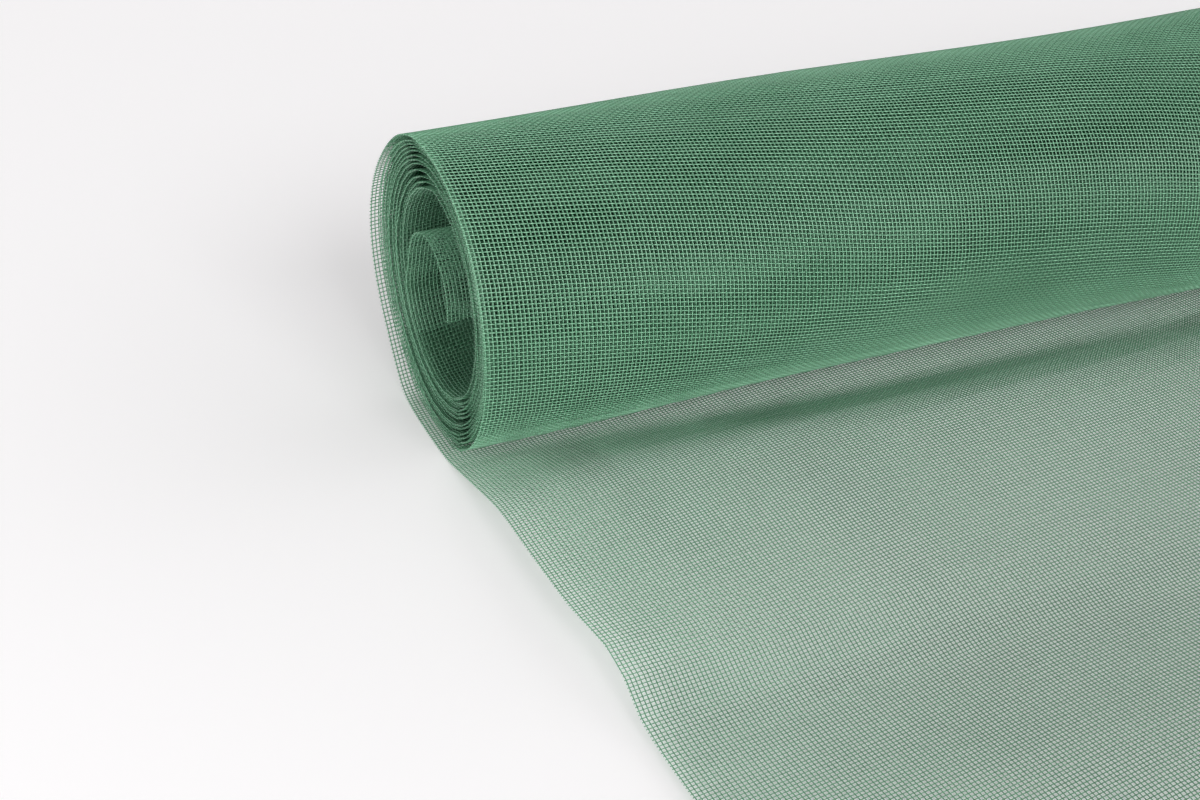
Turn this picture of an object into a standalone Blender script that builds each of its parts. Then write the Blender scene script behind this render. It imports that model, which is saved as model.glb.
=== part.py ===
# Roll of insect screen mesh: one length of coated mesh, loosely wound with no core and part unrolled.
# The roll lies along X with its open near end at low X. The loose end runs along the surface to low Y,
# passes under the roll and laps up its back. The innermost end has sprung free inside the hollow.
# Metres, +Z up, origin at the middle of the outline on the surface it lies on.

import math

import bmesh
import bpy

# Driving dimensions
CLOTH_WIDTH = 0.600             # selvage to selvage, along the roll
CLOTH_THICKNESS = 0.0012        # of the sheets here, the mesh with its waviness
GAP = 0.00035                   # clearance between pieces that lie on each other
WOUND_RADIUS = 0.0535           # wound body, just under the lap of the loose end
LAP_STEP = 0.0015               # what one more turn adds to the radius at the lap
AXIS_HEIGHT = 0.0547            # winding axis above the surface
LAP_ANGLE = math.radians(115)   # where the loose end joins the body, behind the top
HOLLOW_SIDEWAYS = 0.0385        # half width of the hollow
HOLLOW_UPWARDS = 0.0381         # half height of the hollow
HOLLOW_SHIFT = (-0.0030, -0.0002)   # centre of the hollow from the winding axis, along Y and Z
END_RECESS = 0.0025             # how far the inner turns stand back at the near end
FLOOR_BEND = 0.0045             # the cloth comes down to the surface in a bend of this reach
LOOSE_REACH = 0.290             # from the winding axis to the cut front end

# Fineness
SLICES = 16                     # along the roll
ROUND_STEPS = 64                # around the wound body
FLOOR_STEPS = 34                # along the part of the sheet that lies in front, shorter by the foot
BACK_STEPS = 18                 # along the part that laps up the back

# Belly of the outermost turn: it is slack below the front of the body, by the near end
BELLY_AT = math.radians(-59)
BELLY_BELOW = math.radians(45)
BELLY_ABOVE = math.radians(70)
BELLY_MOST = 0.0030
BELLY_PLACE = 0.020             # along the roll, where it is slackest
BELLY_BEFORE = 0.100
BELLY_AFTER = 0.120

# Bulge of the back by the near end
BULGE_AT = math.radians(175)
BULGE_REACH = math.radians(60)
BULGE_MOST = 0.0030
BULGE_ALONG = 0.200

# Terraces on the open ends: share of the wall from outside to inside, share of END_RECESS
TERRACES = (
    {"depth": 0.00, "recess": 0.00},
    {"depth": 0.30, "recess": 0.05},
    {"depth": 0.36, "recess": 0.45},
    {"depth": 0.66, "recess": 0.55},
    {"depth": 0.72, "recess": 0.95},
    {"depth": 1.00, "recess": 1.00},
)

# The sheet in front, at places along the roll: distance from the axis where it leaves the surface by
# the foot, how far it rises from there, and its height from HEIGHTS_FROM on, at every HEIGHTS_STEP towards the cut end
HEIGHTS_FROM = 0.040
HEIGHTS_STEP = 0.030
FOLD_BENDS = (0.006, 0.012)     # reach of the bends at the start and end of that rise
SHEET_HEIGHTS = (
    {"along": 0.000, "leaves": 0.0220, "rises": 0.052,
     "heights": (0.0084, 0.0084, 0.0079, 0.0087, 0.0084, 0.0030, 0.0022, 0.0040, 0.0044, 0.0016)},
    {"along": 0.040, "leaves": 0.0255, "rises": 0.036,
     "heights": (0.0103, 0.0104, 0.0101, 0.0086, 0.0053, 0.0014, 0.0024, 0.0052, 0.0054, 0.0018)},
    {"along": 0.100, "leaves": 0.0310, "rises": 0.034,
     "heights": (0.0113, 0.0113, 0.0104, 0.0078, 0.0042, 0.0011, 0.0024, 0.0052, 0.0054, 0.0018)},
    {"along": 0.160, "leaves": 0.0350, "rises": 0.033,
     "heights": (0.0110, 0.0107, 0.0090, 0.0058, 0.0026, 0.0008, 0.0022, 0.0046, 0.0048, 0.0016)},
    {"along": 0.320, "leaves": 0.0360, "rises": 0.033,
     "heights": (0.0074, 0.0073, 0.0062, 0.0042, 0.0022, 0.0008, 0.0012, 0.0028, 0.0030, 0.0012)},
    {"along": 0.600, "leaves": 0.0360, "rises": 0.033,
     "heights": (0.0068, 0.0069, 0.0060, 0.0044, 0.0028, 0.0014, 0.0008, 0.0014, 0.0018, 0.0010)},
)

# Inner end: it lies on the back wall of the hollow, leaves it upwards and curls forward in its own arc
INNER_CURL = (0.0078, -0.0045)      # centre of that arc from the winding axis, along Y and Z
INNER_CURL_RADIUS = 0.0205
INNER_ROOT = math.radians(226)      # where it starts on the wall
INNER_LEAVES = math.radians(206)    # where it leaves the wall
INNER_FREE = math.radians(175)      # where it is wholly on its own arc
INNER_EDGE = math.radians(-8)       # its free edge
INNER_STEPS = 28
INNER_RECESS = 0.0015


def ease(value):
    """0 to 1 with level ends."""
    value = min(1.0, max(0.0, value))
    return value * value * (3 - 2 * value)


def hump(value, crest, before, after):
    """1 at the crest, falling in a cosine to 0 within before and after."""
    reach = before if value < crest else after
    return 0.5 + 0.5 * math.cos(math.pi * min(1.0, abs(value - crest) / reach))


def bend_up(value, bend):
    """0 below zero and the value itself above, joined in a round bend."""
    share = min(1.0, max(0.0, 0.5 + value / (2 * bend)))
    return value * share + bend * share * (1 - share)


def belly(along):
    """How far the outermost turn hangs off the body, at this distance from the near end."""
    return BELLY_MOST * hump(along, BELLY_PLACE, BELLY_BEFORE, BELLY_AFTER)


def back_bulge(angle, along):
    """How far the back of the body bulges out by the near end."""
    away = abs((angle - BULGE_AT + math.pi) % math.tau - math.pi)
    return BULGE_MOST * hump(away, 0.0, BULGE_REACH, BULGE_REACH) * hump(along, 0.0, BULGE_ALONG, BULGE_ALONG)


def body_radius(angle, along):
    """Outside of the wound body. The angle is from the front, upwards, and falls as the cloth winds in."""
    wound = (LAP_ANGLE - angle) / math.tau
    radius = WOUND_RADIUS + LAP_STEP * (1 - wound)
    radius += belly(along) * hump(angle, BELLY_AT, BELLY_BELOW, BELLY_ABOVE)
    radius += back_bulge(angle, along)
    radius += 0.0005 * math.sin(math.tau * along / 0.23 + 2 * angle)
    radius += 0.0004 * math.sin(math.tau * along / 0.37 - 3 * angle)
    return radius


def round_point(angle, radius, floor):
    """Y and Z at this angle and radius from the winding axis, no lower than the floor."""
    height = AXIS_HEIGHT + radius * math.sin(angle)
    return -radius * math.cos(angle), floor + bend_up(height - floor, FLOOR_BEND)


def hollow_point(angle, along):
    """Y and Z on the wall of the hollow, with a crease where the inner turns are kinked at the top."""
    kink = 0.0016 * math.exp(-(((angle - math.radians(88)) / math.radians(9)) ** 2))
    uneven = 0.0005 * math.sin(math.tau * along / 0.29 + 2 * angle)
    return (
        HOLLOW_SHIFT[0] - (HOLLOW_SIDEWAYS + uneven) * math.cos(angle),
        AXIS_HEIGHT + HOLLOW_SHIFT[1] + (HOLLOW_UPWARDS + kink + uneven) * math.sin(angle),
    )


def sheet_lead(travel):
    """How far the cloth runs off sideways, by its travel past the foot of the roll, front negative."""
    by_the_foot = 0.0010 * math.exp(-(((travel + 0.008) / 0.040) ** 2))
    in_front = 0.0025 * hump(travel, -0.162, 0.030, 0.034)
    up_the_back = 0.0008 * ease(travel / 0.050) + 0.0012 * ease((travel - 0.085) / 0.065)
    return in_front + up_the_back - (0.0032 + by_the_foot)


def rim_lead(angle):
    """How far the outermost turn still stands out sideways as it comes over the top from the lap."""
    return -0.0012 * ease((angle - math.radians(20)) / (LAP_ANGLE - math.radians(20)))


def on_curve(heights, place):
    """Height at a place counted in steps, on a smooth curve through the heights."""
    last = len(heights) - 1
    place = min(float(last), max(0.0, place))
    low = min(last - 1, int(place))
    share = place - low
    before, here, there, beyond = (heights[min(last, max(0, low + offset))] for offset in (-1, 0, 1, 2))
    height = here * (1 + 2 * share) * (1 - share) ** 2 + there * share ** 2 * (3 - 2 * share)
    height += (there - before) / 2 * share * (1 - share) ** 2
    return height - (beyond - here) / 2 * share ** 2 * (1 - share)


def sheet_lift(distance, along):
    """Height of the sheet above the surface in front of the roll."""
    for before, after in zip(SHEET_HEIGHTS, SHEET_HEIGHTS[1:]):
        if along <= after["along"]:
            break
    share = ease((along - before["along"]) / (after["along"] - before["along"]))
    place = (distance - HEIGHTS_FROM) / HEIGHTS_STEP
    lower, upper = (on_curve(row["heights"], place) for row in (before, after))
    leaves, rises = (before[key] + (after[key] - before[key]) * share for key in ("leaves", "rises"))
    risen = bend_up(distance - leaves, FOLD_BENDS[0]) - bend_up(distance - leaves - rises, FOLD_BENDS[1])
    return (lower + (upper - lower) * share) * risen / rises


def lap_stand_off(angle):
    """How far the lap stands off the body behind it: nothing at its top, more down the back and more
    again where it swings out to the foot."""
    down_the_back = ease((angle - math.radians(130)) / math.radians(50))
    at_the_foot = ease((angle - math.radians(212)) / math.radians(35))
    return 0.0018 * down_the_back + 0.0034 * at_the_foot


def sheet_section(along):
    """Pairs of points under and over the loose end, from its cut end to the lap, at this slice."""
    pairs = []
    for step in range(FLOOR_STEPS):
        share = 1 - step / FLOOR_STEPS
        distance = LOOSE_REACH * (0.45 * share + 0.55 * share * share)
        height = sheet_lift(distance, along)
        x = along + sheet_lead(-distance)
        pairs.append(((x, -distance, height), (x, -distance, height + CLOTH_THICKNESS)))
    foot = math.radians(270)
    top = LAP_ANGLE + math.radians(1.5)
    for step in range(BACK_STEPS + 1):
        angle = foot + (top - foot) * step / BACK_STEPS
        inside = body_radius(angle - math.tau, along) + GAP + lap_stand_off(angle)
        under = round_point(angle, inside + CLOTH_THICKNESS, 0.0)
        over = round_point(angle, inside, CLOTH_THICKNESS)
        x = along + sheet_lead(inside * (foot - angle))
        pairs.append(((x, *under), (x, *over)))
    return pairs


def inner_middle(angle, along):
    """Y and Z of the inner end's middle line: on the hollow's wall at first, then on its own arc."""
    inset = CLOTH_THICKNESS / 2 + GAP
    wall_y, wall_z = hollow_point(angle, along)
    wall_y += inset * math.cos(angle)
    wall_z -= inset * math.sin(angle)
    sway = 0.0012 * math.cos(math.tau * along / 0.31)
    arc_y = INNER_CURL[0] - INNER_CURL_RADIUS * math.cos(angle)
    arc_z = AXIS_HEIGHT + INNER_CURL[1] + sway + INNER_CURL_RADIUS * math.sin(angle)
    free = ease((INNER_LEAVES - angle) / (INNER_LEAVES - INNER_FREE))
    return wall_y + (arc_y - wall_y) * free, wall_z + (arc_z - wall_z) * free


def inner_section(along):
    """Pairs of points outside and inside the free inner end, from its root to its edge."""
    span = INNER_EDGE - INNER_ROOT
    middle = [inner_middle(INNER_ROOT + span * step / INNER_STEPS, along) for step in range(INNER_STEPS + 1)]
    x = along + INNER_RECESS
    half = CLOTH_THICKNESS / 2
    pairs = []
    for index, (y, z) in enumerate(middle):
        y0, z0 = middle[max(0, index - 1)]
        y1, z1 = middle[min(INNER_STEPS, index + 1)]
        length = math.hypot(y1 - y0, z1 - z0)
        side_y, side_z = (z1 - z0) / length, -(y1 - y0) / length
        outside = (x, y + side_y * half, z + side_z * half)
        inside = (x, y - side_y * half, z - side_z * half)
        pairs.append((outside, inside))
    return pairs


def mesh_object(name, loops, ring, material):
    """A closed body from loops of points, joined one to the next. A ring closes on itself,
    otherwise the first and last loop are closed across their thickness."""
    body = bmesh.new()
    rows = [[body.verts.new(point) for point in loop] for loop in loops]
    count = len(rows[0])
    for index in range(len(rows) if ring else len(rows) - 1):
        row, following = rows[index], rows[(index + 1) % len(rows)]
        for place in range(count):
            after = (place + 1) % count
            body.faces.new((row[place], row[after], following[after], following[place]))
    if not ring:
        for row in (rows[0], rows[-1]):
            for place in range(count // 2 - 1):
                mirror = count - 1 - place
                body.faces.new((row[place], row[place + 1], row[mirror - 1], row[mirror]))
    bmesh.ops.recalc_face_normals(body, faces=body.faces)
    bmesh.ops.triangulate(body, faces=body.faces)
    mesh = bpy.data.meshes.new(name)
    body.to_mesh(mesh)
    body.free()
    mesh.shade_smooth()
    mesh.set_sharp_from_angle(angle=math.radians(40))
    mesh.materials.append(material)
    made = bpy.data.objects.new(name, mesh)
    bpy.context.collection.objects.link(made)
    return made


def slices():
    return [CLOTH_WIDTH * index / SLICES for index in range(SLICES + 1)]


def sheet_object(name, section, material):
    """A thin sheet from its section at every slice."""
    loops = []
    for along in slices():
        pairs = section(along)
        loops.append([under for under, _ in pairs] + [over for _, over in reversed(pairs)])
    return mesh_object(name, loops, ring=False, material=material)


def wound_body(material):
    """The wound form: spiral outside with its step at the lap, hollow core and terraced open ends."""
    foot_gap = CLOTH_THICKNESS + GAP
    turn = [LAP_ANGLE - math.radians(359) * step / ROUND_STEPS for step in range(ROUND_STEPS + 1)]
    outer = {}
    inner = {}
    for along in slices():
        outer[along] = [round_point(angle, body_radius(angle, along), foot_gap) for angle in turn]
        inner[along] = [hollow_point(angle, along) for angle in turn]

    def terrace(along, row):
        """One loop across the open end, part of the way from the outside to the hollow."""
        depth = row["depth"]
        loop = []
        for angle, (oy, oz), (iy, iz) in zip(turn, outer[along], inner[along]):
            uneven = 1 + 0.35 * math.sin(2 * angle + 9 * depth) * (depth < 1)
            x = along + END_RECESS * row["recess"] * uneven
            if depth == 0:
                x += rim_lead(angle)
            loop.append((x, oy + (iy - oy) * depth, oz + (iz - oz) * depth))
        return loop

    stations = slices()
    near, far = stations[0], stations[-1]
    loops = [terrace(near, row) for row in reversed(TERRACES)]
    for along in stations[1:-1]:
        loops.append([(along, y, z) for y, z in outer[along]])
    loops += [terrace(far, row) for row in TERRACES]
    for along in reversed(stations[1:-1]):
        loops.append([(along + END_RECESS, y, z) for y, z in inner[along]])
    return mesh_object("wound_roll", loops, ring=True, material=material)


def coated_mesh(name, colour):
    """The coated mesh's colour and sheen as a plain surface."""
    material = bpy.data.materials.new(name)
    material.use_nodes = True
    shader = material.node_tree.nodes["Principled BSDF"]
    shader.inputs["Base Color"].default_value = (*colour, 1.0)
    shader.inputs["Roughness"].default_value = 0.45
    shader.inputs["Metallic"].default_value = 0.0
    return material


def centre_outline(pieces):
    """Moves all the pieces so that the middle of their outline is over the origin."""
    points = [vertex.co for piece in pieces for vertex in piece.data.vertices]
    x = (min(p.x for p in points) + max(p.x for p in points)) / 2
    y = (min(p.y for p in points) + max(p.y for p in points)) / 2
    for piece in pieces:
        for vertex in piece.data.vertices:
            vertex.co.x -= x
            vertex.co.y -= y


def main():
    for old in list(bpy.data.objects):
        bpy.data.objects.remove(old)
    wound = coated_mesh("wound green mesh", (0.045, 0.190, 0.105))
    single = coated_mesh("single layer of green mesh", (0.240, 0.400, 0.310))
    pieces = [
        wound_body(wound),
        sheet_object("loose_end", sheet_section, single),
        sheet_object("inner_end", inner_section, wound),
    ]
    centre_outline(pieces)


main()
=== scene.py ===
import bisect
import math

import bpy
from mathutils import Matrix, Vector


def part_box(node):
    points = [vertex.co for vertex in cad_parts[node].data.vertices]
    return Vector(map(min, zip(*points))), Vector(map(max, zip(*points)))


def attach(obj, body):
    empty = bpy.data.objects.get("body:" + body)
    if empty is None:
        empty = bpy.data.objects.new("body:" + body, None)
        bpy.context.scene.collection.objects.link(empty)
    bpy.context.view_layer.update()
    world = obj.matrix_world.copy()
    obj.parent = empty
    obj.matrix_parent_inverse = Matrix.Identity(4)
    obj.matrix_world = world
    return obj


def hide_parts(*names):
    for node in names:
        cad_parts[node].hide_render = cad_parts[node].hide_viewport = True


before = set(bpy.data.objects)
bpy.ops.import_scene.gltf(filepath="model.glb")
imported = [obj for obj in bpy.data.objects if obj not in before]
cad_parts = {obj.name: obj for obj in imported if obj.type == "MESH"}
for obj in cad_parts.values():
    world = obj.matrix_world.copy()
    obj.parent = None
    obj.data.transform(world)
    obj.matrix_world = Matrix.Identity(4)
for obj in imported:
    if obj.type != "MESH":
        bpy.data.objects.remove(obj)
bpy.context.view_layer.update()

# the whole strip, in metres
cloth = {
    "width": 0.600,             # selvage to selvage
    "pitch": 0.00145,           # about one thread every 1.5 mm both ways
    "skew": 0.15,               # the wefts run askew: metres along the strip for each metre across it
    "threadDiameter": 0.00036,  # yarn with its coating
    "stray": 0.00007,           # how far a thread lies beside its place
    "tip": 0.00015,             # the wefts end this far inside the edges of their piece
    "seed": 7,
    "packThickness": 0.0012,    # room that one layer takes in the solids
    "gap": 0.00035,             # and what stays free between two of them
    "lieHeight": 0.00034,       # middle of the threads above the floor
}

# the path of the strip, the same numbers as the solids
path = {
    "reach": 0.290,             # cut end in front of the winding axis
    "axisHeight": 0.0547,
    "woundRadius": 0.0535,
    "lapStep": 0.0015,
    "lapAngle": math.radians(115),
    "floorOfTurns": 0.00165,    # the turns lie flat on the strip under them
    "upOffFloor": 0.0004,       # and from the second one on they lie that much higher
    "packedTurns": 10.69166667, # turns between the outermost one and the free inner end
    "underSurface": 0.0002,     # middle of the outer threads under the surface of the solid
    "hollowSideways": 0.0385,
    "hollowUpwards": 0.0381,
    "hollowShift": (-0.0030, -0.0002),
    "kinkAt": math.radians(88), # the hollow's wall is a little pointed at the top
    "kinkReach": math.radians(9),
    "kinkMost": 0.0016,
    "bellyAt": math.radians(-59),
    "bellyBelow": math.radians(45),
    "bellyAbove": math.radians(70),
    "bellyMost": 0.0030,
    "bellyPlace": 0.020,
    "bellyNearer": 0.100,
    "bellyReach": 0.120,
    "bellyInside": 0.8,         # share of it in the second turn
    "bellyTurns": 2.5,          # turns over which that fades
    "bulgeAt": math.radians(175),
    "bulgeReach": math.radians(60),
    "bulgeMost": 0.0030,
    "bulgeAlong": 0.200,
    "floorBend": 0.0045,
}

# the single layer up the back: how far it stands off the turns, from which angle and over how much
lap = {
    "upperBack": (0.0018, math.radians(130), math.radians(50)),
    "foot": (0.0034, math.radians(212), math.radians(35)),
    "join": math.radians(25),
    "joinLift": 0.00035,
}

# waves of the roll's surfaces: height, length along the roll, and how often they go round it
waves = {
    "outside": ((0.0005, 0.23, 2), (0.0004, 0.37, -3)),
    "hollow": ((0.0005, 0.29, 2),),
}

# the sheet in front: where it leaves the floor, how far on it has risen, and its height from 40 mm in
# front of the axis on, at every 30 mm
sheetRows = [dict(zip(("along", "leaves", "rises", "heights"), row)) for row in (
    (0.000, 0.0220, 0.052, (0.0084, 0.0084, 0.0079, 0.0087, 0.0084, 0.0030, 0.0022, 0.0040, 0.0044, 0.0016)),
    (0.040, 0.0255, 0.036, (0.0103, 0.0104, 0.0101, 0.0086, 0.0053, 0.0014, 0.0024, 0.0052, 0.0054, 0.0018)),
    (0.100, 0.0310, 0.034, (0.0113, 0.0113, 0.0104, 0.0078, 0.0042, 0.0011, 0.0024, 0.0052, 0.0054, 0.0018)),
    (0.160, 0.0350, 0.033, (0.0110, 0.0107, 0.0090, 0.0058, 0.0026, 0.0008, 0.0022, 0.0046, 0.0048, 0.0016)),
    (0.320, 0.0360, 0.033, (0.0074, 0.0073, 0.0062, 0.0042, 0.0022, 0.0008, 0.0012, 0.0028, 0.0030, 0.0012)),
    (0.600, 0.0360, 0.033, (0.0068, 0.0069, 0.0060, 0.0044, 0.0028, 0.0014, 0.0008, 0.0014, 0.0018, 0.0010)),
)]
fold = {
    "heightsFrom": 0.040,
    "step": 0.030,
    "bends": (0.006, 0.012),    # roundness where it leaves the floor and where it has risen
    "netsMeet": 0.081,          # distance in front of the axis where loose_net and foot_net meet
}

# the near selvage: how far the sheet and the outermost turn stand out, and how the rest draws in
selvage = {
    "sheetOut": 0.0032,
    "footOut": (0.0010, -0.008, 0.040),
    "upTheBack": ((0.0008, 0.0, 0.050), (0.0012, 0.085, 0.065)),
    "dent": (0.0025, -0.162, 0.030, 0.034),
    "rimOut": (0.0012, math.radians(20)),
    "recess": 0.0025,
    "restless": ((0.0004, 2.1), (0.0003, 1.7)),
}

# changes from turn to turn, where they begin and over how many turns; those of the lining and of the
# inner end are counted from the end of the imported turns
changes = {
    "underTheLap": (0.7, 0.3),
    "offTheFloor": (0.5, 1.0),
    "recess": (1.0, 0.6),
    "restless": (3.0, 2.0),
    "lining": (0.5, 0.5),
    "innerEnd": (0.6, 0.4),
}

# share of the wall from outside to inside, share of the recess there
terraces = ((0.00, 0.00), (0.20, 0.40), (0.45, 0.50), (0.66, 0.55), (0.72, 0.95), (1.00, 1.00))

# the turns lie in groups with gaps: share of the wall at each turn, from the outermost inwards, over
# the top, at the front, at the bottom and at the back, which are so far round from the lap
turnDepths = (
    {"round": 0.0694, "shares": (0.00, 0.055, 0.13, 0.19, 0.26, 0.36, 0.44, 0.52, 0.64, 0.80, 0.90, 1.00)},
    {"round": 0.3194, "shares": (0.00, 0.05, 0.10, 0.15, 0.23, 0.34, 0.46, 0.57, 0.66, 0.76, 0.86, 0.96)},
    {"round": 0.5694, "shares": (
        0.00, 0.05, 0.094, 0.138, 0.307, 0.357, 0.558, 0.646, 0.734, 0.79, 0.853, 0.94, 1.0,
    )},
    {"round": 0.8194, "shares": (0.00, 0.06, 0.14, 0.22, 0.30, 0.38, 0.445, 0.60, 0.67, 0.785, 0.94, 1.0)},
)

# the free inner end leaves the back of the hollow and curls forward
innerEnd = {
    "curl": (0.0078, -0.0045),
    "curlRadius": 0.0205,
    "root": math.radians(226),
    "leaves": math.radians(206),
    "free": math.radians(175),
    "edge": math.radians(-8),
    "recess": 0.0015,
    "sway": 0.0012,
    "swayLength": 0.31,
}

foot = math.radians(270)
innerRootCourse = foot - path["lapAngle"] + (1 + path["packedTurns"]) * math.tau
innerEdgeCourse = innerRootCourse + innerEnd["root"] - innerEnd["edge"]
origin = Vector((
    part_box("inner_end")[0].x - innerEnd["recess"],
    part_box("loose_end")[0].y + path["reach"],
    0.0,
))


def ease(value):
    value = min(1.0, max(0.0, value))
    return value * value * (3 - 2 * value)


def hump(value, crest, before, after):
    reach = before if value < crest else after
    return 0.5 + 0.5 * math.cos(math.pi * min(1.0, abs(value - crest) / reach))


# zero below zero and the value itself above, joined in a round bend
def bendUp(value, bend):
    share = min(1.0, max(0.0, 0.5 + value / (2 * bend)))
    return value * share + bend * share * (1 - share)


def fromTable(table, value):
    for (x0, y0), (x1, y1) in zip(table, table[1:]):
        if value <= x1:
            return y0 + (y1 - y0) * max(0.0, value - x0) / (x1 - x0)
    return table[-1][1]


def uneven(surface, angle, along):
    return sum(
        high * math.sin(math.tau * along / length + times * angle)
        for high, length, times in waves[surface]
    )


def changed(name, turns):
    begin, reach = changes[name]
    return ease((turns - begin) / reach)


def backBulge(angle, along):
    away = abs((angle - path["bulgeAt"] + math.pi) % math.tau - math.pi)
    share = hump(away, 0.0, path["bulgeReach"], path["bulgeReach"])
    return path["bulgeMost"] * share * hump(along, 0.0, path["bulgeAlong"], path["bulgeAlong"])


def belly(angle, along):
    away = (angle - path["bellyAt"] + math.pi) % math.tau - math.pi
    share = hump(away, 0.0, path["bellyBelow"], path["bellyAbove"])
    share *= hump(along, path["bellyPlace"], path["bellyNearer"], path["bellyReach"])
    return path["bellyMost"] * share


def bodyRadius(angle, along):
    turns = (path["lapAngle"] - angle) / math.tau
    radius = path["woundRadius"] + path["lapStep"] * (1 - turns)
    return radius + belly(angle, along) + backBulge(angle, along) + uneven("outside", angle, along)


def hollowPoint(angle, along):
    fromKink = (angle - path["kinkAt"] + math.pi) % math.tau - math.pi
    kink = path["kinkMost"] * math.exp(-((fromKink / path["kinkReach"]) ** 2))
    swell = uneven("hollow", angle, along)
    inset = cloth["packThickness"] / 2 + cloth["gap"]
    across = path["hollowSideways"] + swell - inset
    upwards = path["hollowUpwards"] + kink + swell - inset
    return (
        path["hollowShift"][0] - across * math.cos(angle),
        path["axisHeight"] + path["hollowShift"][1] + upwards * math.sin(angle),
    )


def onCurve(heights, place):
    last = len(heights) - 1
    place = min(float(last), max(0.0, place))
    low = min(last - 1, int(place))
    share = place - low
    before, here, there, beyond = (heights[min(last, max(0, low + offset))] for offset in (-1, 0, 1, 2))
    height = here * (1 + 2 * share) * (1 - share) ** 2 + there * share ** 2 * (3 - 2 * share)
    height += (there - before) / 2 * share * (1 - share) ** 2
    return height - (beyond - here) / 2 * share ** 2 * (1 - share)


def floorPoint(distance, along):
    for before, after in zip(sheetRows, sheetRows[1:]):
        if along <= after["along"]:
            break
    share = ease((along - before["along"]) / (after["along"] - before["along"]))
    place = (distance - fold["heightsFrom"]) / fold["step"]
    lower, upper = (onCurve(row["heights"], place) for row in (before, after))
    leaves, rises = (before[item] + (after[item] - before[item]) * share for item in ("leaves", "rises"))
    risen = bendUp(distance - leaves, fold["bends"][0]) - bendUp(distance - leaves - rises, fold["bends"][1])
    return -distance, cloth["lieHeight"] + (lower + (upper - lower) * share) * risen / rises


def lapRadius(angle, along):
    places = (lap["upperBack"], lap["foot"])
    standOff = sum(off * ease((angle - begin) / reach) for off, begin, reach in places)
    join = 1 - ease((angle - path["lapAngle"]) / lap["join"])
    inside = bodyRadius(angle - math.tau, along) + cloth["gap"] + standOff
    return inside + cloth["packThickness"] / 2 + lap["joinLift"] * join


def packShare(turns):
    share = 0.0
    for quarter in turnDepths:
        away = abs((turns - quarter["round"] + 0.5) % 1 - 0.5) * len(turnDepths)
        if away < 1:
            depths = quarter["shares"]
            number = max(0.0, turns - quarter["round"])
            low = min(len(depths) - 2, int(number))
            share += (1 - away) * (depths[low] + (depths[low + 1] - depths[low]) * min(1.0, number - low))
    share += (1 - share) * changed("lining", turns - path["packedTurns"])
    return share * changed("underTheLap", turns)


def packedPoint(turns, angle, along):
    share = packShare(turns)
    if turns < 1:
        radius = bodyRadius(angle, along) - path["underSurface"]
    else:
        slack = path["bellyInside"] * belly(angle, along) * max(0.0, 1 - (turns - 1) / path["bellyTurns"])
        radius = path["woundRadius"] - path["underSurface"] + slack
        radius += backBulge(angle, along) + uneven("outside", angle, along)
    wallY, wallZ = hollowPoint(angle, along)
    y = -radius * math.cos(angle)
    z = path["axisHeight"] + radius * math.sin(angle)
    lowest = path["floorOfTurns"] + path["upOffFloor"] * changed("offTheFloor", turns)
    return y + (wallY - y) * share, max(lowest, z + (wallZ - z) * share)


def innerPoint(angle, along):
    wallY, wallZ = hollowPoint(angle, along)
    sway = innerEnd["sway"] * math.cos(math.tau * along / innerEnd["swayLength"])
    arcY = innerEnd["curl"][0] - innerEnd["curlRadius"] * math.cos(angle)
    arcZ = path["axisHeight"] + innerEnd["curl"][1] + sway + innerEnd["curlRadius"] * math.sin(angle)
    free = ease((innerEnd["leaves"] - angle) / (innerEnd["leaves"] - innerEnd["free"]))
    return wallY + (arcY - wallY) * free, wallZ + (arcZ - wallZ) * free


def sheetLead(travel):
    high, crest, reach = selvage["footOut"]
    byTheFoot = high * math.exp(-(((travel - crest) / reach) ** 2))
    upTheBack = sum(high * ease((travel - begin) / reach) for high, begin, reach in selvage["upTheBack"])
    high, crest, before, after = selvage["dent"]
    return high * hump(travel, crest, before, after) + upTheBack - (selvage["sheetOut"] + byTheFoot)


def lead(course, along):
    if course < 0:
        return sheetLead(course)
    angle = foot - course
    if angle > path["lapAngle"]:
        return sheetLead(lapRadius(angle, along) * course)
    turns = (path["lapAngle"] - angle) / math.tau
    if turns < 1:
        out, begin = selvage["rimOut"]
        return -out * ease((angle - begin) / (path["lapAngle"] - begin))
    recess = selvage["recess"] * fromTable(terraces, packShare(turns))
    (slow, radians), (quick, length) = selvage["restless"]
    restless = slow * math.sin(radians * turns) + quick * math.sin(math.tau * turns / length + angle)
    restless *= changed("restless", turns)
    recess += restless * changed("recess", turns)
    return recess + (innerEnd["recess"] - recess) * changed("innerEnd", turns - path["packedTurns"])


def clothPoint(course, along):
    if course < 0:
        y, z = floorPoint(-course, along)
    else:
        angle = foot - course
        turns = (path["lapAngle"] - angle) / math.tau
        if turns < 0:
            radius = lapRadius(angle, along)
            y = -radius * math.cos(angle)
            above = path["axisHeight"] + radius * math.sin(angle) - cloth["lieHeight"]
            z = cloth["lieHeight"] + bendUp(above, path["floorBend"])
        elif course < innerRootCourse:
            y, z = packedPoint(turns, angle, along)
        else:
            y, z = innerPoint(innerEnd["root"] - (course - innerRootCourse), along)
    return origin + Vector((along + lead(course, along), y, z))


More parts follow.
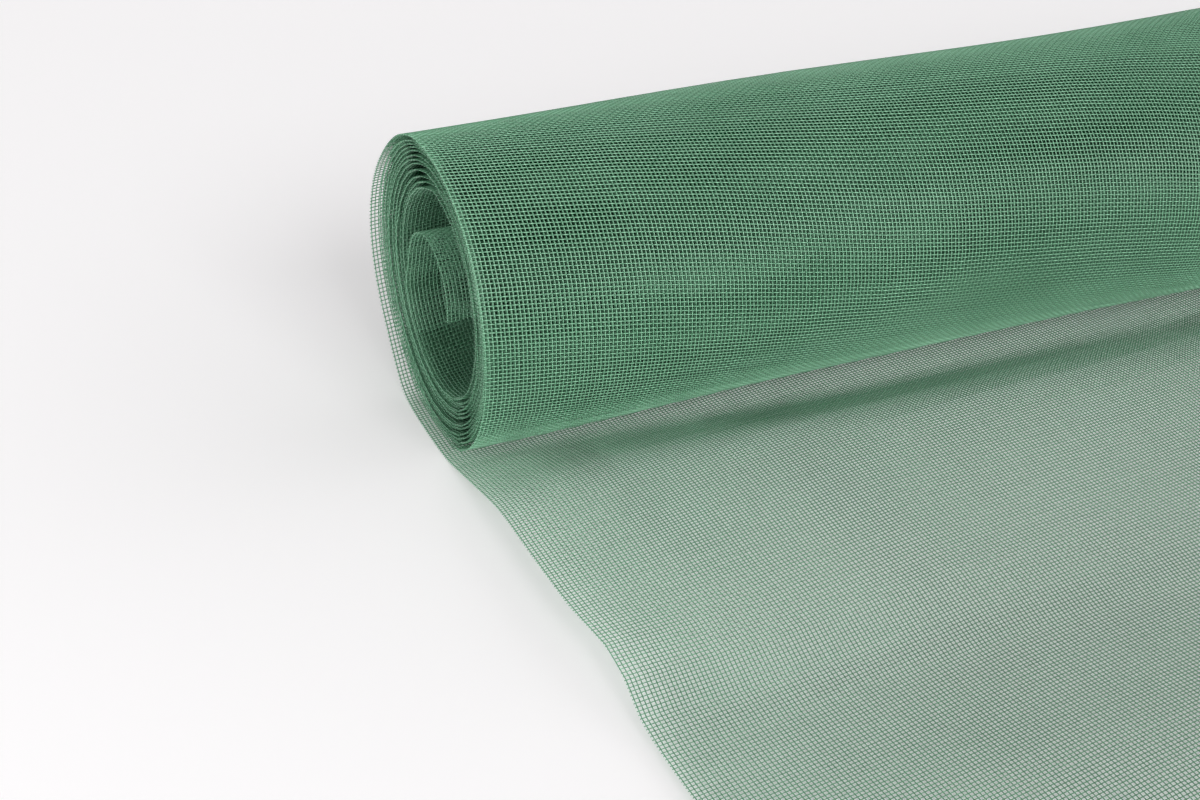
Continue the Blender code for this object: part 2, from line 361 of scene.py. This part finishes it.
# metres of cloth from the cut end to each place on the path, measured once along the middle
margin = 0.008                  # the surfaces are this much longer and wider than their threads
measured = {"step": 0.002, "turnStep": math.radians(1.5)}
stepsInFront = round((path["reach"] + margin) / measured["step"])
courses = [-path["reach"] - margin + measured["step"] * step for step in range(stepsInFront)]
beyond = innerEdgeCourse + margin / innerEnd["curlRadius"]
stepCount = int(beyond / measured["turnStep"])
courses += [beyond * step / stepCount for step in range(stepCount + 1)]
middle = [clothPoint(course, cloth["width"] / 2) for course in courses]
travels = [-margin]
for before, after in zip(middle, middle[1:]):
    travels.append(travels[-1] + (after - before).length)


def courseAt(travel):
    place = min(len(travels) - 1, max(1, bisect.bisect_left(travels, travel)))
    share = (travel - travels[place - 1]) / (travels[place] - travels[place - 1])
    return courses[place - 1] + (courses[place] - courses[place - 1]) * share


def travelAt(course):
    place = min(len(courses) - 1, max(1, bisect.bisect_left(courses, course)))
    share = (course - courses[place - 1]) / (courses[place] - courses[place - 1])
    return travels[place - 1] + (travels[place] - travels[place - 1]) * share


def wholePitches(travel):
    return round(travel / cloth["pitch"]) * cloth["pitch"]


def travelAtTurn(turns):
    return wholePitches(travelAt(foot - path["lapAngle"] + turns * math.tau))


endOfCloth = wholePitches(travelAt(innerEdgeCourse))
atFarSelvage = wholePitches(cloth["skew"] * cloth["width"])


# the threads wander a little in the plane of the cloth, which makes the moire between its layers: height
# of each wave, metres of cloth from crest to crest, and radians that it leans by for each metre across
wandering = {
    "across": ((0.00025, 0.37, 5), (0.00010, 0.113, math.tau / 0.26)),
    "onwards": ((0.0009, 0.22, 4),),
    "bow": (0.0012, 0.20, 0.6, 0.61),   # height and width of each bow, how far they shift and how often
}


def wander(along, travel):
    moved = {"across": 0.0, "onwards": 0.0}
    for way in moved:
        for high, every, lean in wandering[way]:
            moved[way] += high * math.sin(math.tau * travel / every + lean * along)
    high, width, shift, every = wandering["bow"]
    bow = high * math.sin(math.tau * along / width + shift * math.sin(math.tau * travel / every))
    return moved["across"], moved["onwards"] + bow


# rows of the surface follow the wefts; "begin" and "end" are metres of cloth at the near selvage
def clothSurface(name, begin, end, alongFrom, alongTo, rows, columns):
    points, flat = [], []
    for row in range(rows + 1):
        weft = begin - margin / 2 + (end - begin + margin) * row / rows
        for column in range(columns + 1):
            along = alongFrom - margin / 2 + (alongTo - alongFrom + margin) * column / columns
            travel = weft + cloth["skew"] * along
            inside = min(endOfCloth + margin / 2, max(-margin / 2, travel))
            across, onwards = wander(along, inside)
            points.append(clothPoint(courseAt(inside), along))
            flat.append((along + across, inside - cloth["skew"] * along + onwards))
    width = columns + 1
    corners = (0, 1, width + 1, width)
    faces = [
        [row * width + column + corner for corner in corners]
        for row in range(rows)
        for column in range(columns)
    ]
    mesh = bpy.data.meshes.new(name)
    mesh.from_pydata(points, [], faces)
    layer = mesh.uv_layers.new(name="cloth")
    for loop in mesh.loops:
        layer.uv[loop.index].vector = flat[loop.vertex_index]
    made = bpy.data.objects.new(name, mesh)
    bpy.context.collection.objects.link(made)
    return made


def linearColour(text):
    values = [int(text[place:place + 2], 16) / 255 for place in (1, 3, 5)]
    return [v / 12.92 if v <= 0.04045 else ((v + 0.055) / 1.055) ** 2.4 for v in values] + [1.0]


# adds a node; its inputs are values, sockets or nodes, which give their first output
def addNode(tree, kind, inputs=(), **settings):
    node = tree.nodes.new(kind)
    node.location = (190 * (len(tree.nodes) % 12), -260 * (len(tree.nodes) // 12))
    for name, value in settings.items():
        setattr(node, name, value)
    for socket, value in inputs.items() if isinstance(inputs, dict) else enumerate(inputs):
        if isinstance(value, bpy.types.Node):
            value = value.outputs[0]
        if isinstance(value, bpy.types.NodeSocket):
            tree.links.new(value, node.inputs[socket])
        else:
            node.inputs[socket].default_value = value
    return node


maths = "ShaderNodeMath"


# threads both ways on a surface whose UV map is the flat cloth in metres
def netTree():
    tree = bpy.data.node_groups.new("net on a surface", "GeometryNodeTree")
    face = tree.interface
    face.new_socket("Surface", in_out="INPUT", socket_type="NodeSocketGeometry")
    for name in (
        "Pitch", "Thread Radius", "Unevenness", "Skew", "Cloth Length",
        "Warp From", "Warp To", "Weft From", "Weft To", "Tip",
    ):
        face.new_socket(name, in_out="INPUT", socket_type="NodeSocketFloat")
    for name in ("Sides", "Warp Segments", "Weft Segments", "Seed"):
        face.new_socket(name, in_out="INPUT", socket_type="NodeSocketInt")
    face.new_socket("Material", in_out="INPUT", socket_type="NodeSocketMaterial")
    face.new_socket("Net", in_out="OUTPUT", socket_type="NodeSocketGeometry")
    given = addNode(tree, "NodeGroupInput").outputs
    index = addNode(tree, "GeometryNodeInputIndex")
    position = addNode(tree, "GeometryNodeInputPosition")
    half = addNode(tree, maths, (given["Pitch"], 0.5), operation="MULTIPLY")
    families = []
    for family, other, across, running in (("Warp", "Weft", "X", "Y"), ("Weft", "Warp", "Y", "X")):
        low, high = given[family + " From"], given[family + " To"]
        span = addNode(tree, maths, (high, low), operation="SUBTRACT")
        pitches = addNode(tree, maths, (span, given["Pitch"]), operation="DIVIDE")
        pitchesBefore = addNode(tree, maths, (low, given["Pitch"]), operation="DIVIDE")
        before = addNode(tree, maths, (pitchesBefore,), operation="ROUND")
        level = 0.0 if family == "Warp" else 1.0
        firstPlace = addNode(tree, maths, (low, half), operation="ADD")
        line = addNode(tree, "GeometryNodeMeshLine", {
            "Count": addNode(tree, maths, (pitches,), operation="ROUND"),
            "Start Location": addNode(tree, "ShaderNodeCombineXYZ", {across: firstPlace, "Z": level}),
            "Offset": addNode(tree, "ShaderNodeCombineXYZ", {across: given["Pitch"]}),
        })
        stray = addNode(tree, "FunctionNodeRandomValue", {
            2: addNode(tree, maths, (given["Unevenness"], -1.0), operation="MULTIPLY"),
            3: given["Unevenness"],
            "ID": addNode(tree, maths, (index, before), operation="ADD"),
            "Seed": addNode(tree, maths, (given["Seed"], level), operation="ADD"),
        }, data_type="FLOAT").outputs[1]
        spread = addNode(tree, "GeometryNodeSetPosition", {
            "Geometry": line,
            "Offset": addNode(tree, "ShaderNodeCombineXYZ", {across: stray}),
        })
        # a thread ends at the edge of its piece or where the cloth is cut, square to the selvage
        own = addNode(tree, "ShaderNodeSeparateXYZ", (position,)).outputs[across]
        if family == "Warp":
            askew = addNode(tree, maths, (own, given["Skew"]), operation="MULTIPLY")
            cutFrom = addNode(tree, maths, (askew, -1.0), operation="MULTIPLY")
            reach = given["Cloth Length"]
            tip = 0.0
        else:
            backwards = addNode(tree, maths, (own, -1.0), operation="MULTIPLY")
            cutFrom = addNode(tree, maths, (backwards, given["Skew"]), operation="DIVIDE")
            reach = addNode(tree, maths, (given["Cloth Length"], given["Skew"]), operation="DIVIDE")
            tip = given["Tip"]
        cutTo = addNode(tree, maths, (cutFrom, reach), operation="ADD")
        pieceFrom = addNode(tree, maths, (given[other + " From"], tip), operation="ADD")
        pieceTo = addNode(tree, maths, (given[other + " To"], tip), operation="SUBTRACT")
        runFrom = addNode(tree, maths, (pieceFrom, cutFrom), operation="MAXIMUM")
        runTo = addNode(tree, maths, (pieceTo, cutTo), operation="MINIMUM")
        # the length is kept before the points move
        measuredPoints = addNode(tree, "GeometryNodeStoreNamedAttribute", {
            "Geometry": spread,
            "Name": "run",
            "Value": addNode(tree, maths, (runTo, runFrom), operation="SUBTRACT"),
        }, data_type="FLOAT", domain="POINT")
        starts = addNode(tree, "GeometryNodeSetPosition", {
            "Geometry": measuredPoints,
            "Offset": addNode(tree, "ShaderNodeCombineXYZ", {running: runFrom}),
        })
        thread = addNode(tree, "GeometryNodeCurvePrimitiveLine", {
            "End": addNode(tree, "ShaderNodeCombineXYZ", {running: 1.0}),
        })
        fine = addNode(tree, "GeometryNodeResampleCurve", {
            "Curve": thread,
            "Count": addNode(tree, maths, (given[family + " Segments"], 1.0), operation="ADD"),
        })
        run = addNode(tree, "GeometryNodeInputNamedAttribute", {"Name": "run"}, data_type="FLOAT")
        families.append(addNode(tree, "GeometryNodeInstanceOnPoints", {
            "Points": starts,
            "Selection": addNode(tree, maths, (run, given["Pitch"]), operation="GREATER_THAN"),
            "Instance": fine,
            "Scale": addNode(tree, "ShaderNodeCombineXYZ", {across: 1.0, running: run, "Z": 1.0}),
        }))
    both = addNode(tree, "GeometryNodeJoinGeometry")
    for threads in families:
        tree.links.new(threads.outputs[0], both.inputs[0])
    named = addNode(tree, "GeometryNodeStoreNamedAttribute", {
        "Geometry": addNode(tree, "GeometryNodeRealizeInstances", {"Geometry": both}),
        "Name": "thread",
        "Value": position,
    }, data_type="FLOAT_VECTOR", domain="POINT")
    flat = addNode(tree, "GeometryNodeInputNamedAttribute", {"Name": "cloth"}, data_type="FLOAT_VECTOR")
    onSurface = addNode(tree, "GeometryNodeSampleUVSurface", {
        "Mesh": given["Surface"],
        "Value": position,
        "UV Map": flat,
        "Sample UV": position,
    }, data_type="FLOAT_VECTOR")
    laid = addNode(tree, "GeometryNodeSetPosition", {"Geometry": named, "Position": onSurface})
    profile = addNode(tree, "GeometryNodeCurvePrimitiveCircle", {
        "Resolution": given["Sides"],
        "Radius": given["Thread Radius"],
    }, mode="RADIUS")
    tubes = addNode(tree, "GeometryNodeCurveToMesh", {
        "Curve": laid,
        "Profile Curve": profile,
        "Fill Caps": True,
    })
    smooth = addNode(tree, "GeometryNodeSetShadeSmooth", {"Geometry": tubes, "Shade Smooth": True})
    finished = addNode(tree, "GeometryNodeSetMaterial", {
        "Geometry": addNode(tree, "GeometryNodeRealizeInstances", {"Geometry": smooth}),
        "Material": given["Material"],
    })
    addNode(tree, "NodeGroupOutput", (finished,))
    return tree


# a tube of few sides is as wide as the round thread on average at this radius
sideRadius = {3: 0.605, 4: 0.555}


def makeNet(name, tree, material, spec):
    begin, end = spec["travel"]
    low, high = spec.get("along", (0.0, cloth["width"]))
    guide = clothSurface(name, begin, end, low, high, spec["surfaceRows"], spec["surfaceColumns"])
    modifier = guide.modifiers.new("net", "NODES")
    modifier.node_group = tree
    sockets = {item.name: item.identifier for item in tree.interface.items_tree if item.in_out == "INPUT"}
    given = {
        "Pitch": cloth["pitch"],
        "Thread Radius": cloth["threadDiameter"] * sideRadius[spec["sides"]],
        "Unevenness": cloth["stray"],
        "Skew": cloth["skew"],
        "Cloth Length": endOfCloth,
        "Warp From": low,
        "Warp To": high,
        "Weft From": begin,
        "Weft To": end,
        "Tip": cloth["tip"],
        "Sides": spec["sides"],
        "Warp Segments": spec["warpSegments"],
        "Weft Segments": spec["weftSegments"],
        "Seed": cloth["seed"],
        "Material": material,
    }
    for label, value in given.items():
        modifier[sockets[label]] = value
    evaluated = guide.evaluated_get(bpy.context.evaluated_depsgraph_get())
    net = bpy.data.meshes.new_from_object(evaluated)
    guide.modifiers.clear()
    guide.data = net
    net.name = name
    triangles = sum(len(face.vertices) - 2 for face in net.polygons)
    print("net:", name, triangles, "triangles,", round((end - begin) * 1000), "mm of cloth")
    return guide


# Green soft PVC coated on glass fibre yarn: an even green with a faint random streaky tone and a plastic
# gloss on each thread; painted highlight on the crown where a thread passes over the one that crosses it
# and painted shade where it passes under. Painted shade also darkens the turns under others, the lining
# and the inner end, and the single layer, and takes gloss off with it
def coatedYarn(startOfRoll, shadeFrom, shadeTo):
    look = {
        # painted highlight and shade: "over" is the lit crown of a crossing, "under" the shaded dip beneath
        # it
        "over": "#92c8a6",
        "under": "#40815c",
        "weave": 0.38,          # how much the colour swings between the two at each crossing
        "streak": 0.10,
        "streaks": 22.0,        # streaks to a metre
        "roughness": 0.36,
        "gloss": 0.5,
        "crown": 0.00010,       # metres that a crossing stands up by, in the bump alone
        # painted shade: the shares below mix the colour towards the dark green "shadow" and take off the
        # gloss
        "coveredShade": 0.55,        # share of the light taken from turns that lie between two others
        "shadeBands": 0.60,          # how far that varies, in long bands, as the turns lie closer or looser
        "bandsPerMetre": (5.0, 42.0),   # along the roll and along the strip
        "overTheTop": 0.30,     # and how much more it is there, where they stand off each other
        "inside": 0.45,         # share taken from the lining and the inner end, away from the open ends
        "alone": (0.16, 0.40),  # share taken from the single layer, at its selvages and far in from them
        "shadow": "#0c3a20",
        "rim": (0.0005, 0.0040),    # metres in from the selvages where a share begins and is full
        "mouth": (0.0, 0.050),
        "farIn": 0.110,
        "top": (0.055, 0.090),      # metres above the floor
    }
    material = bpy.data.materials.new("green PVC coated glass fibre yarn")
    material.use_nodes = True
    tree = material.node_tree
    tree.nodes.clear()
    place = addNode(tree, "ShaderNodeAttribute", attribute_name="thread", attribute_type="GEOMETRY")
    u, v, family = addNode(tree, "ShaderNodeSeparateXYZ", (place.outputs["Vector"],)).outputs
    crossings = []
    for own, crossing in ((u, v), (v, u)):
        pitches = addNode(tree, maths, (own, cloth["pitch"]), operation="DIVIDE")
        number = addNode(tree, maths, (pitches,), operation="FLOOR")
        halfTurns = addNode(tree, maths, (number, math.pi), operation="MULTIPLY")
        parity = addNode(tree, maths, (halfTurns,), operation="COSINE")
        phase = addNode(tree, maths, (crossing, math.pi / cloth["pitch"]), operation="MULTIPLY")
        swing = addNode(tree, maths, (phase,), operation="SINE")
        crossings.append(addNode(tree, maths, (parity, swing), operation="MULTIPLY"))
    weftHigh = addNode(tree, maths, (crossings[1], -1.0), operation="MULTIPLY")
    crown = addNode(tree, "ShaderNodeMix", {0: family, 2: crossings[0], 3: weftHigh}, data_type="FLOAT")
    # painted highlight and shade along each thread, paler over a crossing and darker under it
    crossingLightAndShade = addNode(tree, maths, (crown, look["weave"], 0.5), operation="MULTIPLY_ADD")
    where = addNode(tree, "ShaderNodeTexCoord").outputs["Object"]
    patchy = addNode(tree, "ShaderNodeTexNoise", {"Vector": where, "Scale": look["streaks"], "Detail": 3.0})
    streak = addNode(tree, maths, (patchy, 0.5), operation="SUBTRACT")
    tint = addNode(tree, maths, (streak, look["streak"] * 4, crossingLightAndShade), operation="MULTIPLY_ADD")
    colour = addNode(tree, "ShaderNodeValToRGB", (tint,))
    colour.color_ramp.elements[0].color = linearColour(look["under"])
    colour.color_ramp.elements[1].color = linearColour(look["over"])

    # which part of the strip this is, and how far it lies from the nearer selvage
    travel = addNode(tree, maths, (u, cloth["skew"], v), operation="MULTIPLY_ADD")
    pastFirst = addNode(tree, maths, (travel, shadeFrom), operation="GREATER_THAN")
    beforeLast = addNode(tree, maths, (travel, shadeTo), operation="LESS_THAN")
    under = addNode(tree, maths, (pastFirst, beforeLast), operation="MULTIPLY")
    innermost = addNode(tree, maths, (travel, shadeTo), operation="GREATER_THAN")
    alone = addNode(tree, maths, (travel, startOfRoll), operation="LESS_THAN")
    sideways = addNode(tree, maths, (u, cloth["width"] / 2), operation="SUBTRACT")
    fromMiddle = addNode(tree, maths, (sideways,), operation="ABSOLUTE")
    inwards = addNode(tree, maths, (cloth["width"] / 2, fromMiddle), operation="SUBTRACT")

    # painted shade: the light taken from it by the layers around it, varying in long bands and greater high
    # on the roll
    bandsAlong, bandsOnwards = look["bandsPerMetre"]
    bandPlace = addNode(tree, "ShaderNodeCombineXYZ", {
        "X": addNode(tree, maths, (u, bandsAlong), operation="MULTIPLY"),
        "Y": addNode(tree, maths, (travel, bandsOnwards), operation="MULTIPLY"),
    })
    loose = addNode(tree, "ShaderNodeTexNoise", {"Vector": bandPlace, "Scale": 1.0, "Detail": 1.0})
    looser = addNode(tree, maths, (loose, 0.5), operation="SUBTRACT")
    shadeBands = addNode(tree, maths, (looser, look["shadeBands"] * 2, look["coveredShade"]), operation="MULTIPLY_ADD")
    height = addNode(tree, "ShaderNodeSeparateXYZ", (where,)).outputs["Z"]
    low, high = look["top"]
    overTop = addNode(tree, "ShaderNodeMapRange", {"Value": height, "From Min": low, "From Max": high})
    shadeBands = addNode(tree, maths, (overTop, look["overTheTop"], shadeBands), operation="MULTIPLY_ADD")
    shares = []
    for share, reach, turns in ((shadeBands, look["rim"], under), (look["inside"], look["mouth"], innermost)):
        away = addNode(tree, "ShaderNodeMapRange", {
            "Value": inwards,
            "From Min": reach[0],
            "From Max": reach[1],
        })
        there = addNode(tree, maths, (away, turns), operation="MULTIPLY")
        shares.append(addNode(tree, maths, (there, share), operation="MULTIPLY"))
    farIn = addNode(tree, "ShaderNodeMapRange", {
        "Value": inwards,
        "From Max": look["farIn"],
        "To Min": look["alone"][0],
        "To Max": look["alone"][1],
    })
    # painted shade on the single layer, less at its selvages
    singleLayerShade = addNode(tree, maths, (alone, farIn), operation="MULTIPLY")
    inRoll = addNode(tree, maths, (shares[0], shares[1]), operation="ADD")
    dark = addNode(tree, maths, (inRoll, singleLayerShade), operation="ADD")
    # the painted shade mixed into the colour
    shaded = addNode(tree, "ShaderNodeMix", {
        0: dark,
        6: colour,
        7: linearColour(look["shadow"]),
    }, data_type="RGBA").outputs[2]
    # the painted shade takes away the gloss as well
    lit = addNode(tree, maths, (1.0, dark), operation="SUBTRACT")
    gloss = addNode(tree, maths, (lit, look["gloss"]), operation="MULTIPLY")
    bump = addNode(tree, "ShaderNodeBump", {"Height": crown, "Strength": 0.6, "Distance": look["crown"]})
    shader = addNode(tree, "ShaderNodeBsdfPrincipled", {
        "Base Color": shaded,
        "Roughness": look["roughness"],
        "IOR": 1.53,
        "Specular IOR Level": gloss,
        "Coat Weight": gloss,
        "Coat Roughness": 0.25,
        "Normal": bump,
    })
    addNode(tree, "ShaderNodeOutputMaterial", (shader,))
    return material


# The turns deep in the wall: the same cloth seen through four layers, its weave drawn from the UV map;
# the openings of the weave are painted near black-green, painted shade of the layers behind them
def packedCloth():
    look = {
        "thread": "#4c8465",
        # painted shade: the openings of the weave
        "openingShade": "#0c2a1a",
        "cover": 0.30,
        "soft": 0.12,
        "roughness": 0.5,
        "crown": 0.0003,
    }
    material = bpy.data.materials.new("packed layers of green coated net")
    material.use_nodes = True
    tree = material.node_tree
    tree.nodes.clear()
    flat = addNode(tree, "ShaderNodeUVMap", uv_map="cloth")
    ridges = []
    for way in addNode(tree, "ShaderNodeSeparateXYZ", (flat,)).outputs[:2]:
        phase = addNode(tree, maths, (way, math.tau / cloth["pitch"]), operation="MULTIPLY")
        swing = addNode(tree, maths, (phase,), operation="COSINE")
        lifted = addNode(tree, maths, (swing, 1.0), operation="ADD")
        ridges.append(addNode(tree, maths, (lifted, -0.5), operation="MULTIPLY"))
    deeper = addNode(tree, maths, ridges, operation="MINIMUM")
    weave = addNode(tree, maths, (deeper, 1.0), operation="ADD")
    thread = addNode(tree, maths, (1.0, weave), operation="SUBTRACT")
    shown = addNode(tree, maths, (thread, 1.0), operation="SMOOTH_MIN")
    colour = addNode(tree, "ShaderNodeValToRGB", (shown,))
    colour.color_ramp.elements[0].position = 1 - look["cover"] - look["soft"]
    colour.color_ramp.elements[1].position = 1 - look["cover"] + look["soft"]
    colour.color_ramp.elements[0].color = linearColour(look["openingShade"])
    colour.color_ramp.elements[1].color = linearColour(look["thread"])
    bump = addNode(tree, "ShaderNodeBump", {"Height": shown, "Strength": 0.8, "Distance": look["crown"]})
    shader = addNode(tree, "ShaderNodeBsdfPrincipled", {
        "Base Color": colour,
        "Roughness": look["roughness"],
        "IOR": 1.52,
        "Normal": bump,
    })
    addNode(tree, "ShaderNodeOutputMaterial", (shader,))
    return material


tree = netTree()
startOfRoll = travelAtTurn(0)
yarn = coatedYarn(startOfRoll, travelAtTurn(1), travelAtTurn(path["packedTurns"]))
print("cloth:", round(endOfCloth, 3), "m from the cut end to the inner end")

# whole turns counted from the lap inwards; both ends of each are whole numbers of threads apart
lastPacked = path["packedTurns"]
fullTurns = (
    {"name": "outer_turn", "from": 0, "sides": 4, "warpSegments": 36, "weftSegments": 20},
    {"name": "second_turn", "from": 1, "sides": 3, "warpSegments": 30, "weftSegments": 12},
    {"name": "third_turn", "from": 2, "sides": 3, "warpSegments": 30, "weftSegments": 12},
    {"name": "fourth_turn", "from": 3, "sides": 3, "warpSegments": 30, "weftSegments": 10},
    {"name": "wall_turn", "from": lastPacked - 1, "sides": 3, "warpSegments": 24, "weftSegments": 12},
    {"name": "lining_turn", "from": lastPacked, "sides": 3, "warpSegments": 24, "weftSegments": 12},
)
foldTravel = wholePitches(travelAt(-fold["netsMeet"]))
looseNet = makeNet("loose_net", tree, yarn, {
    "travel": (-atFarSelvage, foldTravel),
    "surfaceRows": 60,
    "surfaceColumns": 40,
    "sides": 4,
    "warpSegments": 14,
    "weftSegments": 20,
})
footNet = makeNet("foot_net", tree, yarn, {
    "travel": (foldTravel, startOfRoll),
    "surfaceRows": 120,
    "surfaceColumns": 40,
    "sides": 4,
    "warpSegments": 44,
    "weftSegments": 24,
})
pieces = [looseNet, footNet]
flats = [foldTravel + atFarSelvage / 2, startOfRoll - foldTravel]
for spec in fullTurns:
    spec["travel"] = (travelAtTurn(spec["from"]), travelAtTurn(spec["from"] + 1))
    spec["surfaceRows"], spec["surfaceColumns"] = 90, 30
    pieces.append(makeNet(spec["name"], tree, yarn, spec))
    flats.append(spec["travel"][1] - spec["travel"][0])
startOfInner = travelAtTurn(lastPacked + 1)
innerNet = makeNet("inner_net", tree, yarn, {
    "travel": (startOfInner, endOfCloth),
    "surfaceRows": 40,
    "surfaceColumns": 30,
    "sides": 4,
    "warpSegments": 16,
    "weftSegments": 16,
})
flats.append(endOfCloth - startOfInner - atFarSelvage / 2)
pieces.append(innerNet)

# the turns between those: threads at the rims, and a closed surface that reaches under their edges
rim = {"fromTurn": 4, "width": 0.018, "overlap": 0.003}
packFrom, packTo = travelAtTurn(rim["fromTurn"]), travelAtTurn(lastPacked - 1)
rims = []
for name, low, high in (
    ("near_rim_net", 0.0, rim["width"]),
    ("far_rim_net", cloth["width"] - rim["width"], cloth["width"]),
):
    rims.append(makeNet(name, tree, yarn, {
        "travel": (packFrom, packTo),
        "along": (low, high),
        "surfaceRows": 460,
        "surfaceColumns": 2,
        "sides": 3,
        "warpSegments": 150,
        "weftSegments": 2,
    }))

packLow = rim["width"] - rim["overlap"]
packHigh = cloth["width"] - rim["width"] + rim["overlap"]
pack = clothSurface("packed_turns", packFrom, packTo, packLow, packHigh, 300, 6)
thick = pack.modifiers.new("thickness", "SOLIDIFY")
thick.thickness = cloth["threadDiameter"]
thick.offset = 0.0
pack.data.materials.append(packedCloth())
pack.data.shade_smooth()

for piece, length in zip(pieces, flats):
    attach(piece, "root")
for piece in rims:
    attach(piece, "root")
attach(pack, "root")
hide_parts("loose_end")
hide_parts("loose_end")
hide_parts("inner_end")
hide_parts("wound_roll")
print("cloth: declared", len(pieces) + len(rims) + 1, "sheets")

# plain pale floor: matt white acrylic, lit a little from below
table = {"size": 9.0, "white": "#f8f6f7", "roughness": 0.9, "glow": 0.21}
bpy.ops.mesh.primitive_grid_add(x_subdivisions=4, y_subdivisions=4, size=table["size"], location=(0, 0, 0))
floor = bpy.context.active_object
floor.name = "floor"
acrylic = bpy.data.materials.new("matt white acrylic table")
acrylic.use_nodes = True
acrylicShader = acrylic.node_tree.nodes["Principled BSDF"]
acrylicShader.inputs["Base Color"].default_value = linearColour(table["white"])
acrylicShader.inputs["Roughness"].default_value = table["roughness"]
acrylicShader.inputs["Specular IOR Level"].default_value = 0.0
acrylicShader.inputs["Emission Color"].default_value = linearColour(table["white"])
acrylicShader.inputs["Emission Strength"].default_value = table["glow"]
floor.data.materials.append(acrylic)

# light: a white tent, bright low down and dim overhead, brighter on the right; a wide soft light in
# front and a small one on the left
tent = {"low": 1.45, "overhead": 0.16, "edge": (0.44, 0.68), "right": 0.15, "behind": -0.50}
world = bpy.data.worlds.new("white light tent")
world.use_nodes = True
sky = world.node_tree
direction = addNode(sky, "ShaderNodeTexCoord").outputs["Generated"]
toRight, toBack, upwards = addNode(sky, "ShaderNodeSeparateXYZ", (direction,)).outputs
glow = addNode(sky, "ShaderNodeMapRange", {
    "Value": upwards,
    "From Min": tent["edge"][0],
    "From Max": tent["edge"][1],
    "To Min": tent["low"],
    "To Max": tent["overhead"],
}, interpolation_type="SMOOTHSTEP")
side = addNode(sky, maths, (toRight, tent["right"], 1.0), operation="MULTIPLY_ADD")
allRound = addNode(sky, maths, (toBack, tent["behind"], side), operation="MULTIPLY_ADD")
bright = addNode(sky, maths, (glow, allRound), operation="MULTIPLY")
sky.links.new(bright.outputs[0], sky.nodes["Background"].inputs["Strength"])
sky.nodes["Background"].inputs["Color"].default_value = linearColour("#ffffff")
bpy.context.scene.world = world
lampAim = Vector((-0.15, 0.0, 0.03))
lamps = (
    {
        "name": "wide front light",
        "kind": "SUN",
        "from": (-0.08, -0.85, 0.53),
        "energy": 1.00,
        "spread": math.radians(24),
    },
    {
        "name": "left softbox",
        "kind": "AREA",
        "from": (-1.05, -0.25, 0.50),
        "energy": 1.6,
        "size": 0.5,
    },
)
for lamp in lamps:
    data = bpy.data.lights.new(lamp["name"], lamp["kind"])
    data.energy = lamp["energy"]
    if lamp["kind"] == "SUN":
        data.angle = lamp["spread"]
    else:
        data.size = lamp["size"]
    made = bpy.data.objects.new(lamp["name"], data)
    made.location = lamp["from"]
    made.rotation_mode = "QUATERNION"
    made.rotation_quaternion = (lampAim - Vector(lamp["from"])).to_track_quat("-Z", "Y")
    bpy.context.collection.objects.link(made)

# camera at the photograph's angle: turned 23 degrees to the right, 29 degrees down
camera = {
    "place": (-0.195, -0.6062, 0.366),
    "turned": math.radians(23.16),
    "down": math.radians(29.20),
    "rolled": math.radians(-0.12),
    "lens": 61.29,
    "sensor": 36,
}
forward = Vector((
    math.sin(camera["turned"]) * math.cos(camera["down"]),
    math.cos(camera["turned"]) * math.cos(camera["down"]),
    -math.sin(camera["down"]),
))
level = Vector((math.cos(camera["turned"]), -math.sin(camera["turned"]), 0.0))
upright = level.cross(forward)
right = level * math.cos(camera["rolled"]) + upright * math.sin(camera["rolled"])
up = upright * math.cos(camera["rolled"]) - level * math.sin(camera["rolled"])
cameraData = bpy.data.cameras.new("camera")
cameraData.sensor_width = camera["sensor"]
cameraData.lens = camera["lens"]
cameraObject = bpy.data.objects.new("camera", cameraData)
turned = Matrix((right, up, -forward)).transposed().to_4x4()
turned.translation = origin + Vector(camera["place"])
cameraObject.matrix_world = turned
bpy.context.collection.objects.link(cameraObject)
bpy.context.scene.camera = cameraObject
bpy.context.scene.view_settings.view_transform = "Standard"
